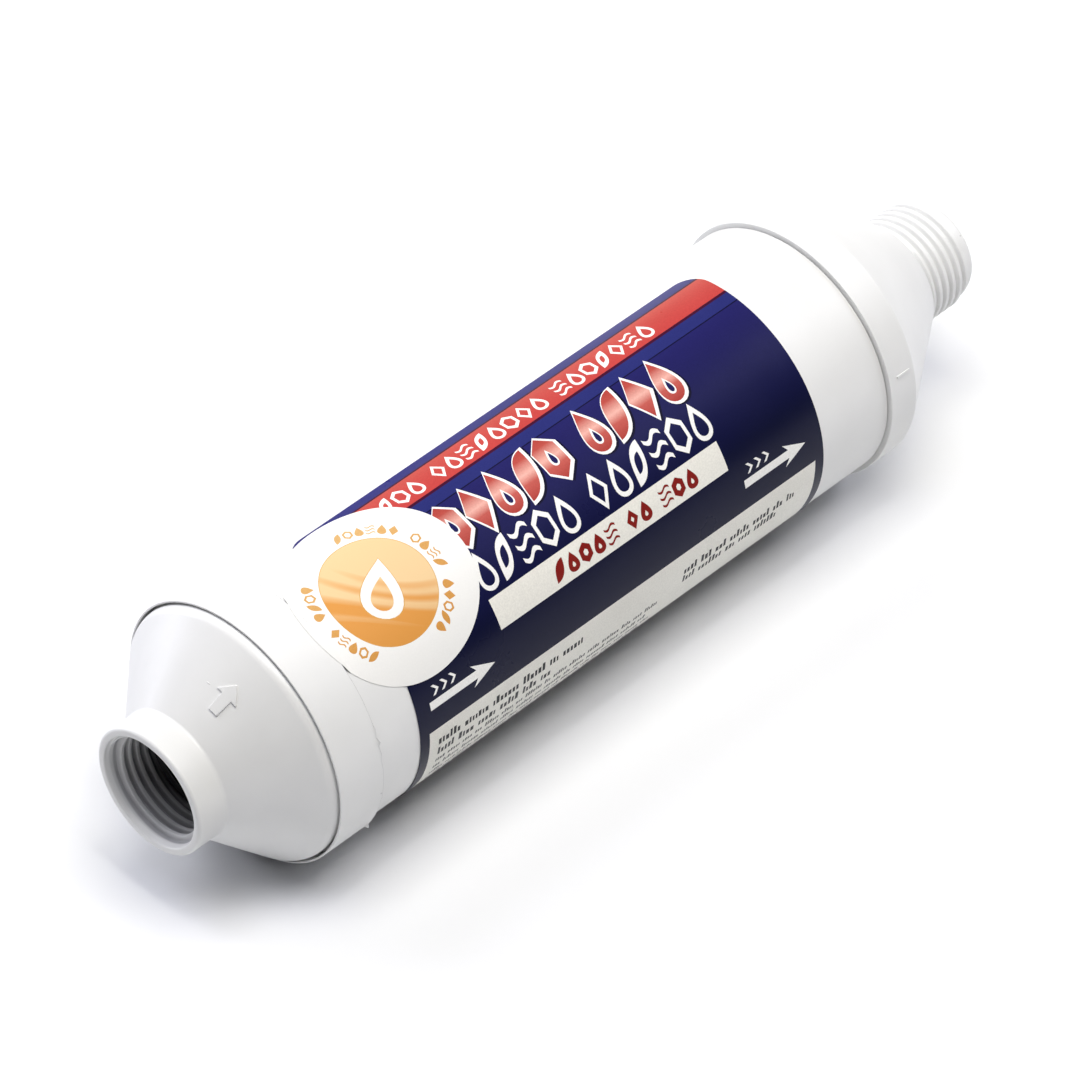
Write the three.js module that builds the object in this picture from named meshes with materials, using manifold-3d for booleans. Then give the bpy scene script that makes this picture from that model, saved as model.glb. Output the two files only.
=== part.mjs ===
// Inline water filter: a disposable tube of filter media with a female hose socket
// at the inlet and a male hose thread at the outlet.
//
// Millimetres, +Z up. The filter lies on its side along X and the water flows towards +X.
// The origin is midway along the filter, on the surface that it rests on.
// Stations are distances along the axis from the mouth of the inlet socket.

import * as THREE from 'three';
import { mergeVertices } from 'three/addons/utils/BufferGeometryUtils.js';
import Module from 'manifold-3d';

const wasm = await Module();
wasm.setup();

// Driving dimensions

const OVERALL_LENGTH = 247.4;
const REST_RADIUS = 32.1;          // the collar and the band, which the filter lies on
const TUBE_RADIUS = 31.0;
const WALL = 3.0;
const GAP = 0.3;                   // between pieces that touch
const SEGMENTS = 48;

// 3/4-11.5 hose thread
const THREAD_PITCH = 2.209;
const MALE_MAJOR = 13.35;
const MALE_ROOT = 12.15;
const FEMALE_MINOR = 12.1;
const FEMALE_ROOT = 13.1;
const WATERWAY_RADIUS = 8.5;

// Inlet cap
const NECK_RADIUS = 15.5;
const SOCKET_DEPTH = 15.1;
const SOCKET_FLOOR = 2.5;
const INLET_THREAD = { start: 1.8, turns: 4.6 };
const CONE_START = 7.85;           // where the cone meets the neck
const RIM_STATION = 25.1;          // end of the cone, flush with the end of the tube
const RIM_RADIUS = 31.15;
const RIM_DEPTH = 2.7;
const SPIGOT_DEPTH = 12.0;
const SPIGOT_WALL = 2.5;
const RIM_ROUND = 0.75;            // height of the rounded edge where the cone meets the rim
const CHAMBER_RADIUS = 19.5;       // narrow end of the hollow behind the socket's floor

// Tube
const COLLAR_LENGTH = 12.4;
const COLLAR_TAPER = 1.0;
const LIP = 0.55;                  // thin lip round the inlet cap's rim
const SHOULDER_STATION = 196.9;
const TONGUE_RADIUS = 29.9;
const TONGUE_LENGTH = 6.3;

// Outlet cap
const BAND_LENGTH = 7.9;
const OUTLET_CONE_END = 230.4;
const OUTLET_NECK_RADIUS = 15.0;
const OUTLET_THREAD = { start: 231.6, turns: 5.7 };
const LEDGE_DEPTH = 5.2;           // how far the cap's inner ring reaches into the tube

// Filter bed, in the order that the water meets it: name and thickness
const BED_CLEARANCE = 0.3;
const BED = [
  ['inlet_diffuser', 3.0],
  ['inlet_screen_ring', 1.6],
  ['inlet_felt_pad', 5.0],
  ['copper_zinc_bed', 28.0],
  ['separator_pad', 3.0],
  ['carbon_bed', null],            // fills what is left
  ['outlet_felt_pad', 5.0],
  ['outlet_screen_ring', 1.6],
  ['outlet_support_plate', 4.0],
];
const SCREEN_THICKNESS = 0.6;
const RING_WIDTH = 2.4;

// Label and sticker
const LABEL = { start: 49.5, end: 175.5, inner: 31.1, outer: 31.22, topEdge: 72.15, wrap: 300 };
const STICKER = { station: 59.4, angle: 113.5, radius: 20.4, inner: 31.32, outer: 31.44 };

// Marks moulded on the caps
const ARROW = { angle: 110.5, station: 15.7, length: 7.6, headWidth: 5.4, shaftWidth: 2.9, line: 0.6, proud: 0.35 };
const TICK = { angle: 164, station: 201.6, length: 3.9, width: 0.7, proud: 0.3 };

// Materials

const material = (color, roughness, metalness = 0) =>
  new THREE.MeshStandardMaterial({ color, roughness, metalness });

const WHITE_PLASTIC = material(0xf2f2f0, 0.4);
const INNER_PLASTIC = material(0xe4e4de, 0.5);
const RUBBER = material(0x1b1b1c, 0.8);
const STEEL_MESH = material(0x9a9a98, 0.4, 1);
const NYLON_MESH = material(0xd9d8cf, 0.6);
const FELT = material(0xe6e2d6, 0.95);
const COPPER_ZINC = material(0xb0803f, 0.5, 0.8);
const CARBON = material(0x161617, 0.9);
const LABEL_FILM = material(0x1f1d5e, 0.3);
const STICKER_FILM = material(0xf4a95a, 0.25);

// Geometry helpers

const toRadians = THREE.MathUtils.degToRad;
const TURN = 2 * Math.PI;

function toSolid(geometry) {
  const bare = geometry.clone();
  bare.deleteAttribute('normal');
  bare.deleteAttribute('uv');
  const merged = mergeVertices(bare, 1e-4);
  const vertProperties = new Float32Array(merged.attributes.position.array);
  const triVerts = new Uint32Array(merged.index.array);
  return new wasm.Manifold(new wasm.Mesh({ numProp: 3, vertProperties, triVerts }));
}

function toGeometry(solid) {
  const { vertProperties, triVerts } = solid.getMesh();
  const geometry = new THREE.BufferGeometry();
  geometry.setAttribute('position', new THREE.BufferAttribute(vertProperties, 3));
  geometry.setIndex(new THREE.BufferAttribute(triVerts, 1));
  geometry.computeVertexNormals();
  return geometry;
}

// A body turned about the axis. The profile is a list of [station, radius] that runs
// towards the outlet on the outside and comes back on the inside.
function turned(profile) {
  const points = profile.map(([station, radius]) => new THREE.Vector2(radius, station));
  return new THREE.LatheGeometry(points, SEGMENTS).rotateZ(-Math.PI / 2);
}

function turnedRing(start, end, innerRadius, outerRadius) {
  return turned([
    [start, innerRadius],
    [start, outerRadius],
    [end, outerRadius],
    [end, innerRadius],
    [start, innerRadius],
  ]);
}

function turnedDisc(start, end, radius) {
  return turned([
    [start, 0],
    [start, radius],
    [end, radius],
    [end, 0],
  ]);
}

// A helical ridge: a long box wrapped round the axis, wide at its root and narrow at its
// crest, which sinks into the root at both ends.
function threadRidge({ start, turns }, rootRadius, crestRadius) {
  const sink = 0.4 * Math.sign(crestRadius - rootRadius);
  const stepsPerTurn = 24;
  const fadeTurns = 0.3;
  const rootWidth = 0.82 * THREAD_PITCH;
  const crestWidth = 0.3 * THREAD_PITCH;
  const innerRadius = Math.min(rootRadius - sink, crestRadius);
  const outerRadius = Math.max(rootRadius - sink, crestRadius);
  const steps = Math.round(turns * stepsPerTurn);
  const geometry = new THREE.BoxGeometry(1, 1, 1, steps, 1, 1);
  const position = geometry.attributes.position;
  for (let i = 0; i < position.count; i += 1) {
    const turn = (position.getX(i) + 0.5) * turns;
    const fade = Math.min(1, turn / fadeTurns, (turns - turn) / fadeTurns);
    const atOuter = position.getY(i) > 0;
    const atCrest = (outerRadius === crestRadius) === atOuter;
    const fadedCrest = THREE.MathUtils.lerp(rootRadius - sink / 2, crestRadius, fade);
    const otherRadius = atOuter ? outerRadius : innerRadius;
    const radius = atCrest ? fadedCrest : otherRadius;
    const width = atCrest ? crestWidth : rootWidth;
    const station = start + THREAD_PITCH * turn - position.getZ(i) * width;
    const angle = TURN * turn;
    position.setXYZ(i, station, radius * Math.cos(angle), radius * Math.sin(angle));
  }
  return geometry;
}

// Places a flat shape, drawn with x along the axis and extruded along z, on a surface of
// revolution: at a station, a radius and an angle round the axis, leaning with a cone.
function onSurface(geometry, station, radius, angleDegrees, slope) {
  const angle = toRadians(angleDegrees);
  const radial = new THREE.Vector3(0, Math.cos(angle), Math.sin(angle));
  const along = new THREE.Vector3(1, 0, 0).addScaledVector(radial, slope).normalize();
  const across = new THREE.Vector3(0, -Math.sin(angle), Math.cos(angle));
  const outward = new THREE.Vector3().crossVectors(along, across);
  if (outward.dot(radial) < 0) {
    across.negate();
    outward.negate();
  }
  const place = new THREE.Matrix4().makeBasis(along, across, outward);
  place.setPosition(new THREE.Vector3(station, 0, 0).addScaledVector(radial, radius));
  return geometry.applyMatrix4(place);
}

function extruded(shape, depth, curveSegments = 12) {
  return new THREE.ExtrudeGeometry(shape, { depth, bevelEnabled: false, curveSegments });
}

const flatPoints = (pairs) => pairs.map(([x, y]) => new THREE.Vector2(x, y));

// Cones of the two caps

const CONE_EDGE_RADIUS = RIM_RADIUS - RIM_ROUND;
const CONE_EDGE_STATION = RIM_STATION - 0.45;
const INLET_SLOPE = (CONE_EDGE_RADIUS - NECK_RADIUS) / (CONE_EDGE_STATION - CONE_START);
const inletConeRadius = (station) => NECK_RADIUS + INLET_SLOPE * (station - CONE_START);

const BAND_START = SHOULDER_STATION + GAP;
const BAND_END = BAND_START + BAND_LENGTH;
const TUBE_BORE = TUBE_RADIUS - WALL;
const SPIGOT_RADIUS = TUBE_BORE - GAP;
const SPIGOT_BORE = SPIGOT_RADIUS - SPIGOT_WALL;
const RIM_BACK = RIM_STATION + RIM_DEPTH;
const SPIGOT_END = RIM_STATION + SPIGOT_DEPTH;

// Inlet cap

function arrowOutline(inset) {
  const { length, headWidth, shaftWidth } = ARROW;
  const tail = -length / 2 + inset;
  const neck = 0.05 * length + inset;
  const tip = length / 2 - 1.6 * inset;
  const halfHead = headWidth / 2 - 1.5 * inset;
  const halfShaft = shaftWidth / 2 - inset;
  return flatPoints([
    [tail, -halfShaft],
    [neck, -halfShaft],
    [neck, -halfHead],
    [tip, 0],
    [neck, halfHead],
    [neck, halfShaft],
    [tail, halfShaft],
  ]);
}

function flowArrow() {
  const shape = new THREE.Shape(arrowOutline(0));
  shape.holes.push(new THREE.Path(arrowOutline(ARROW.line)));
  const sunk = 1.0;
  const solid = extruded(shape, sunk + ARROW.proud).translate(0, 0, -sunk);
  return onSurface(solid, ARROW.station, inletConeRadius(ARROW.station), ARROW.angle, INLET_SLOPE);
}

function inletCap() {
  const floorBack = SOCKET_DEPTH + SOCKET_FLOOR;
  const body = turned([
    [0, FEMALE_ROOT + 0.5],
    [0, NECK_RADIUS - 0.5],
    [0.15, NECK_RADIUS - 0.15],
    [0.5, NECK_RADIUS],
    [CONE_START - 0.8, NECK_RADIUS],
    [CONE_START - 0.1, NECK_RADIUS + 0.2],
    [CONE_START + 0.7, inletConeRadius(CONE_START + 0.7)],
    [CONE_EDGE_STATION, CONE_EDGE_RADIUS],
    [RIM_STATION, RIM_RADIUS - 0.35],
    [RIM_STATION + 0.5, RIM_RADIUS],
    [RIM_BACK, RIM_RADIUS],
    [RIM_BACK, SPIGOT_RADIUS],
    [SPIGOT_END, SPIGOT_RADIUS],
    [SPIGOT_END, SPIGOT_BORE],
    [RIM_STATION - 1.1, SPIGOT_BORE],
    [floorBack, CHAMBER_RADIUS],
    [floorBack, WATERWAY_RADIUS],
    [SOCKET_DEPTH, WATERWAY_RADIUS],
    [SOCKET_DEPTH, FEMALE_ROOT],
    [0.35, FEMALE_ROOT],
    [0, FEMALE_ROOT + 0.5],
  ]);
  const thread = threadRidge(INLET_THREAD, FEMALE_ROOT, FEMALE_MINOR);
  return toGeometry(toSolid(body).add(toSolid(thread)).add(toSolid(flowArrow())));
}

// The hose washer lies on the socket's floor, and its screen sits in a step in its bore.

const WASHER = { outer: 11.8, inner: 8.0, thickness: 3.0, stepWidth: 1.0, stepDepth: 1.4, edge: 0.3 };
const WASHER_END = SOCKET_DEPTH - GAP;
const WASHER_START = WASHER_END - WASHER.thickness;

const STEP_END = WASHER_START + WASHER.stepDepth;
const STEP_RADIUS = WASHER.inner + WASHER.stepWidth;

function hoseWasher() {
  const { outer, inner, edge } = WASHER;
  return turned([
    [WASHER_START, STEP_RADIUS],
    [WASHER_START, outer - edge],
    [WASHER_START + edge, outer],
    [WASHER_END - edge, outer],
    [WASHER_END, outer - edge],
    [WASHER_END, inner],
    [STEP_END, inner],
    [STEP_END, STEP_RADIUS],
    [WASHER_START, STEP_RADIUS],
  ]);
}

function washerScreen() {
  const end = STEP_END - GAP;
  return turnedDisc(end - SCREEN_THICKNESS, end, STEP_RADIUS - GAP);
}

// Housing tube

function housingTube() {
  const rebate = REST_RADIUS - LIP;
  const ledge = RIM_BACK + GAP;
  const collarEnd = RIM_STATION + COLLAR_LENGTH;
  return turned([
    [RIM_STATION, rebate],
    [RIM_STATION, REST_RADIUS - 0.2],
    [RIM_STATION + 0.2, REST_RADIUS],
    [collarEnd, REST_RADIUS],
    [collarEnd + COLLAR_TAPER, TUBE_RADIUS],
    [SHOULDER_STATION, TUBE_RADIUS],
    [SHOULDER_STATION, TONGUE_RADIUS],
    [SHOULDER_STATION + TONGUE_LENGTH, TONGUE_RADIUS],
    [SHOULDER_STATION + TONGUE_LENGTH, TUBE_BORE],
    [ledge, TUBE_BORE],
    [ledge, rebate],
    [RIM_STATION, rebate],
  ]);
}

// Outlet cap: a groove takes the tube's tongue, between the band and an inner ring.

const LEDGE_STATION = SHOULDER_STATION - LEDGE_DEPTH;

function bandTick() {
  const tick = new THREE.BoxGeometry(TICK.length, TICK.width, 2 * TICK.proud);
  return onSurface(tick, TICK.station, REST_RADIUS, TICK.angle, 0);
}

function outletCap() {
  const grooveEnd = SHOULDER_STATION + TONGUE_LENGTH + GAP;
  const cap = turned([
    [BAND_START, TONGUE_RADIUS + GAP],
    [BAND_START, REST_RADIUS - 0.2],
    [BAND_START + 0.2, REST_RADIUS],
    [BAND_END - 0.5, REST_RADIUS],
    [BAND_END, REST_RADIUS - 0.4],
    [OUTLET_CONE_END, OUTLET_NECK_RADIUS],
    [OUTLET_CONE_END + 0.6, OUTLET_NECK_RADIUS - 1.4],
    [OUTLET_CONE_END + 1.2, MALE_ROOT],
    [OVERALL_LENGTH - 1.0, MALE_ROOT],
    [OVERALL_LENGTH, MALE_ROOT - 0.6],
    [OVERALL_LENGTH, WATERWAY_RADIUS + 0.5],
    [OVERALL_LENGTH - 0.5, WATERWAY_RADIUS],
    [OUTLET_CONE_END - 2.0, WATERWAY_RADIUS],
    [BAND_END + 3.0, SPIGOT_BORE],
    [LEDGE_STATION, SPIGOT_BORE],
    [LEDGE_STATION, SPIGOT_RADIUS],
    [grooveEnd, SPIGOT_RADIUS],
    [grooveEnd, TONGUE_RADIUS + GAP],
    [BAND_START, TONGUE_RADIUS + GAP],
  ]);
  const thread = threadRidge(OUTLET_THREAD, MALE_ROOT, MALE_MAJOR);
  return toGeometry(toSolid(cap).add(toSolid(thread)).add(toSolid(bandTick())));
}

// Filter bed

const BED_RADIUS = TUBE_BORE - BED_CLEARANCE;
const BED_START = SPIGOT_END + GAP;
const BED_END = LEDGE_STATION - GAP;

// Stations of each layer, with the free layer filling the space between the others
function bedStations() {
  const fixed = BED.reduce((sum, [, thickness]) => sum + (thickness ?? 0), 0);
  const free = BED_END - BED_START - fixed - GAP * (BED.length - 1);
  const stations = {};
  let start = BED_START;
  for (const [name, thickness] of BED) {
    const end = start + (thickness ?? free);
    stations[name] = [start, end];
    start = end + GAP;
  }
  return stations;
}

// A plate with rings of round holes and, if it has ribs, a cross of them on its far side
const HOLE_RADIUS = 1.7;
const HOLE_RINGS = [
  { radius: 0, count: 1 },
  { radius: 8.4, count: 6 },
  { radius: 16.0, count: 12 },
  { radius: 23.2, count: 16 },
];
const RIB = { length: 48, width: 1.6, overlap: 0.5 };

function circlePoints(radius, count) {
  return Array.from({ length: count }, (_, i) => {
    const angle = (TURN * i) / count;
    return new THREE.Vector2(radius * Math.cos(angle), radius * Math.sin(angle));
  });
}

function perforatedPlate([start, end], ribHeight) {
  const sidesOfHole = 8;
  const plate = new THREE.Shape(circlePoints(BED_RADIUS, SEGMENTS));
  for (const { radius, count } of HOLE_RINGS) {
    for (const centre of circlePoints(radius, count)) {
      const rim = circlePoints(HOLE_RADIUS, sidesOfHole).map((point) => point.add(centre));
      plate.holes.push(new THREE.Path(rim.reverse()));
    }
  }
  const thickness = end - start - ribHeight;
  const disc = extruded(plate, thickness).rotateY(Math.PI / 2).translate(start, 0, 0);
  if (ribHeight === 0) {
    return disc;
  }
  let solid = toSolid(disc);
  for (const angle of [Math.PI / 4, -Math.PI / 4]) {
    const rib = new THREE.BoxGeometry(ribHeight + RIB.overlap, RIB.length, RIB.width);
    rib.translate(end - (ribHeight + RIB.overlap) / 2, 0, 0).rotateX(angle);
    solid = solid.add(toSolid(rib));
  }
  return toGeometry(solid);
}

// Each screen lies inside its ring.
function screenDisc([start, end]) {
  const middle = (start + end) / 2;
  const radius = BED_RADIUS - RING_WIDTH - GAP;
  return turnedDisc(middle - SCREEN_THICKNESS / 2, middle + SCREEN_THICKNESS / 2, radius);
}

const screenRing = ([start, end]) => turnedRing(start, end, BED_RADIUS - RING_WIDTH, BED_RADIUS);

// Label and sticker: thin shells of the tube's shape, cut to their outlines

// The part of a shell between two angles and two stations, cut from a full ring by an
// extruded sector whose arc is well outside the ring.
function labelShell() {
  const { start, end, inner, outer, topEdge, wrap } = LABEL;
  const sector = new THREE.Shape();
  const reach = 2 * outer;
  const from = toRadians(topEdge);
  sector.moveTo(0, 0);
  sector.absarc(0, 0, reach, from, from + toRadians(wrap));
  sector.lineTo(0, 0);
  const wedge = extruded(sector, end - start);
  // shape x, y and depth become the frame's y, z and x
  wedge.applyMatrix4(new THREE.Matrix4().set(0, 0, 1, start, 1, 0, 0, 0, 0, 1, 0, 0, 0, 0, 0, 1));
  return toGeometry(toSolid(turnedRing(start, end, inner, outer)).intersect(toSolid(wedge)));
}

function stickerShell() {
  const { station, angle, radius, inner, outer } = STICKER;
  const ring = turnedRing(station - radius - 1, station + radius + 1, inner, outer);
  // The sticker is flat before it is laid, so its outline is a circle in the developed
  // surface; seen square on it is an ellipse narrower across than along the axis.
  const halfAcross = outer * Math.sin(radius / outer);
  const outline = new THREE.Shape();
  outline.absellipse(0, 0, radius, halfAcross, 0, TURN);
  const punch = onSurface(extruded(outline, outer), station, radius / 10, angle, 0);
  return toGeometry(toSolid(ring).intersect(toSolid(punch)));
}

// Assembly

const filter = new THREE.Group();
filter.position.set(-OVERALL_LENGTH / 2, 0, REST_RADIUS);

function addPart(name, geometry, partMaterial) {
  const mesh = new THREE.Mesh(geometry, partMaterial);
  mesh.name = name;
  filter.add(mesh);
}

const bed = bedStations();

addPart('housing_tube', housingTube(), WHITE_PLASTIC);
addPart('inlet_cap', inletCap(), WHITE_PLASTIC);
addPart('outlet_cap', outletCap(), WHITE_PLASTIC);
addPart('hose_washer', hoseWasher(), RUBBER);
addPart('washer_screen', washerScreen(), STEEL_MESH);
addPart('inlet_diffuser', perforatedPlate(bed.inlet_diffuser, 0), INNER_PLASTIC);
addPart('inlet_screen_ring', screenRing(bed.inlet_screen_ring), INNER_PLASTIC);
addPart('inlet_screen', screenDisc(bed.inlet_screen_ring), NYLON_MESH);
addPart('inlet_felt_pad', turnedDisc(...bed.inlet_felt_pad, BED_RADIUS), FELT);
addPart('copper_zinc_bed', turnedDisc(...bed.copper_zinc_bed, BED_RADIUS), COPPER_ZINC);
addPart('separator_pad', turnedDisc(...bed.separator_pad, BED_RADIUS), FELT);
addPart('carbon_bed', turnedDisc(...bed.carbon_bed, BED_RADIUS), CARBON);
addPart('outlet_felt_pad', turnedDisc(...bed.outlet_felt_pad, BED_RADIUS), FELT);
addPart('outlet_screen_ring', screenRing(bed.outlet_screen_ring), INNER_PLASTIC);
addPart('outlet_screen', screenDisc(bed.outlet_screen_ring), NYLON_MESH);
addPart('outlet_support_plate', perforatedPlate(bed.outlet_support_plate, 1.5), INNER_PLASTIC);
addPart('wrap_label', labelShell(), LABEL_FILM);
addPart('round_sticker', stickerShell(), STICKER_FILM);

export default filter;
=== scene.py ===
"""The looks of an inline water filter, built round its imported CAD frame.

Units are metres in Blender. Sizes below are in millimetres and are turned into metres by MM.
Stations are distances along the tube's axis from the mouth of the inlet socket. An angle round
the axis is 0 towards +Y, 90 on top and 180 towards -Y, the side that the camera sees.
"""
import math
import random

import bpy
from mathutils import Matrix, Vector, geometry, noise


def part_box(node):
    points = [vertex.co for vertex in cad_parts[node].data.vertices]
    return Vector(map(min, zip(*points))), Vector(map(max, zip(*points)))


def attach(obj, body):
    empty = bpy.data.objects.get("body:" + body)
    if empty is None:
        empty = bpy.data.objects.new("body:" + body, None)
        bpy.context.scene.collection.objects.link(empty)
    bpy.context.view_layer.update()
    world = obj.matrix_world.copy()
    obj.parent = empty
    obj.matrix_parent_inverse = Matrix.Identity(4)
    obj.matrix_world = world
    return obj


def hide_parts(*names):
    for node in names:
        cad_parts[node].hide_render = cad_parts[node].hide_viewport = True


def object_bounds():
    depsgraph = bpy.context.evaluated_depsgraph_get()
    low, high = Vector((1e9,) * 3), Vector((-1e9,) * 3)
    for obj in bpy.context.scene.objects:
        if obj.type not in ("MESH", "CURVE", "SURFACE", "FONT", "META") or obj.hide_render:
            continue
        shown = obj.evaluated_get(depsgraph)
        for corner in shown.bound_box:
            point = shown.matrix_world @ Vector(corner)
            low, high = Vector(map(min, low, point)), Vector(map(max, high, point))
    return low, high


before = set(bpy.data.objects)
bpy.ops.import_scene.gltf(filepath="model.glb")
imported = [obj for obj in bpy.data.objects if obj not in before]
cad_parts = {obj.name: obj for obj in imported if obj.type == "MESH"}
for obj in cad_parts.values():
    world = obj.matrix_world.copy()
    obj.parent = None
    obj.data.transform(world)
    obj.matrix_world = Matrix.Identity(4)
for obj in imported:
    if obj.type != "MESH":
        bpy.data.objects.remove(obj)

MM = 0.001
TURN = 2 * math.pi

CAD_LOW, CAD_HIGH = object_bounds()
MOUTH_X = CAD_LOW.x
AXIS_Z = (CAD_LOW.z + CAD_HIGH.z) / 2
REST_RADIUS = (CAD_HIGH.z - CAD_LOW.z) / 2 / MM
LENGTH = (CAD_HIGH.x - CAD_LOW.x) / MM


def station_of(x):
    return (x - MOUTH_X) / MM


# Sizes of the shells, in millimetres

TUBE_RADIUS = REST_RADIUS - 1.1
TUBE_BORE = TUBE_RADIUS - 3.0
RIM_STATION = station_of(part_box("housing_tube")[0].x)
COLLAR_END = RIM_STATION + 12.4
TONGUE_END = station_of(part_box("housing_tube")[1].x)
SHOULDER = TONGUE_END - 6.3
TONGUE_RADIUS = TUBE_RADIUS - 1.1
REBATE_END = RIM_STATION + 3.0
FLASH = 0.1
LIP = 0.55

NECK_RADIUS = 15.5
CONE_START = 7.85
RIM_RADIUS = REST_RADIUS - 1.15
RIM_CORNER = RIM_STATION - 1.1
SPIGOT_END = station_of(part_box("inlet_cap")[1].x)
SPIGOT_BORE = TUBE_BORE - 2.8
SOCKET_DEPTH = 15.1
CHAMBER_START = SOCKET_DEPTH + 2.5
CHAMBER_RADIUS = 19.5
WATERWAY = 8.5
GAP = 0.3

BAND_START = SHOULDER + GAP
BAND_END = BAND_START + 7.9
OUTLET_CONE_END = 230.4
OUTLET_NECK = 15.0
LEDGE = station_of(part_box("outlet_cap")[0].x)

PITCH = 2.209
INLET_THREAD = {"start": 1.8, "turns": 4.6}
OUTLET_THREAD = {"start": 231.6, "turns": 5.7}
MALE_MAJOR, MALE_ROOT = 13.35, 12.1
FEMALE_MINOR, FEMALE_ROOT = 12.0, 13.3

# Columns round the axis in a turned mesh, and mm between the rows of a threaded wall
COLUMNS = 192
THREAD_ROW = 0.11


# Meshes

def to_frame(station, radius, angle):
    """A point at a station, a radius (both in mm) and an angle in radians round the axis."""
    x = MOUTH_X + station * MM
    y = radius * math.cos(angle) * MM
    z = AXIS_Z + radius * math.sin(angle) * MM
    return Vector((x, y, z))


def new_object(name, vertices, faces, material_list, face_materials=None):
    mesh = bpy.data.meshes.new(name)
    mesh.from_pydata([tuple(v) for v in vertices], [], faces)
    for material in material_list:
        mesh.materials.append(material)
    if face_materials:
        mesh.polygons.foreach_set("material_index", face_materials)
    mesh.polygons.foreach_set("use_smooth", [True] * len(mesh.polygons))
    mesh.update()
    piece = bpy.data.objects.new(name, mesh)
    bpy.context.scene.collection.objects.link(piece)
    return piece


def weight_normals(piece):
    modifier = piece.modifiers.new("weighted normals", "WEIGHTED_NORMAL")
    modifier.weight = 50
    modifier.keep_sharp = True


def add_piece(piece, body, slot, *nodes):
    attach(piece, body)
    if nodes:
        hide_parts(*nodes)


def filleted(corners, steps=5):
    """A closed profile whose corners (station, radius, fillet) are rounded by arcs."""
    profile = []
    count = len(corners)
    for i, (station, radius, fillet) in enumerate(corners):
        here = Vector((station, radius))
        if fillet == 0:
            profile.append((station, radius))
            continue
        before = Vector(corners[i - 1][:2]) - here
        after = Vector(corners[(i + 1) % count][:2]) - here
        half = before.angle(after) / 2
        reach = min(fillet / math.tan(half), 0.49 * before.length, 0.49 * after.length)
        size = reach * math.tan(half)
        start = here + before.normalized() * reach
        centre = here + (before.normalized() + after.normalized()).normalized() * size / math.sin(half)
        end = here + after.normalized() * reach
        first, last = start - centre, end - centre
        sweep = first.angle_signed(last)
        for step in range(steps + 1):
            turned = first.copy()
            turned.rotate(Matrix.Rotation(-sweep * step / steps, 2))
            profile.append(tuple(centre + turned))
    return profile


def revolve(name, profile, material, relief=None, shaded=None, recess=None):
    """A closed profile of (station, radius) turned round the axis.

    relief(station, radius, angle) gives the true radius there, for threads and flash. Where
    recess(station, radius) is true, the faces are of the material shaded.
    """
    vertices, faces, face_materials = [], [], []
    rows = len(profile)
    for station, radius in profile:
        for column in range(COLUMNS):
            angle = TURN * column / COLUMNS
            true_radius = relief(station, radius, angle) if relief else radius
            vertices.append(to_frame(station, true_radius, angle))
    for row in range(rows):
        next_row = (row + 1) % rows
        deep = bool(recess) and recess(*profile[row]) and recess(*profile[next_row])
        face_materials += [int(deep)] * COLUMNS
        for column in range(COLUMNS):
            next_column = (column + 1) % COLUMNS
            faces.append((
                row * COLUMNS + column,
                row * COLUMNS + next_column,
                next_row * COLUMNS + next_column,
                next_row * COLUMNS + column,
            ))
    materials = [material, shaded] if shaded else [material]
    piece = new_object(name, vertices, faces, materials, face_materials)
    weight_normals(piece)
    return piece


def smooth(value):
    value = max(0.0, min(1.0, value))
    return value * value * (3 - 2 * value)


def thread_height(station, angle, start, turns):
    """0 in the thread's groove and 1 on its crest: a right-handed helix that fades at both ends."""
    root_half, crest_half, fade_turns = 0.36, 0.17, 0.25
    along = (station - start) / PITCH - angle / TURN
    nearest = round(along)
    distance = abs(along - nearest)
    turn = nearest + angle / TURN
    fade = smooth(min(turn, turns - turn) / fade_turns)
    return fade * smooth((root_half - distance) / (root_half - crest_half))


def evenly(start, end, step):
    count = max(1, round((end - start) / step))
    return [start + (end - start) * i / count for i in range(count + 1)]


# Materials

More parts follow.
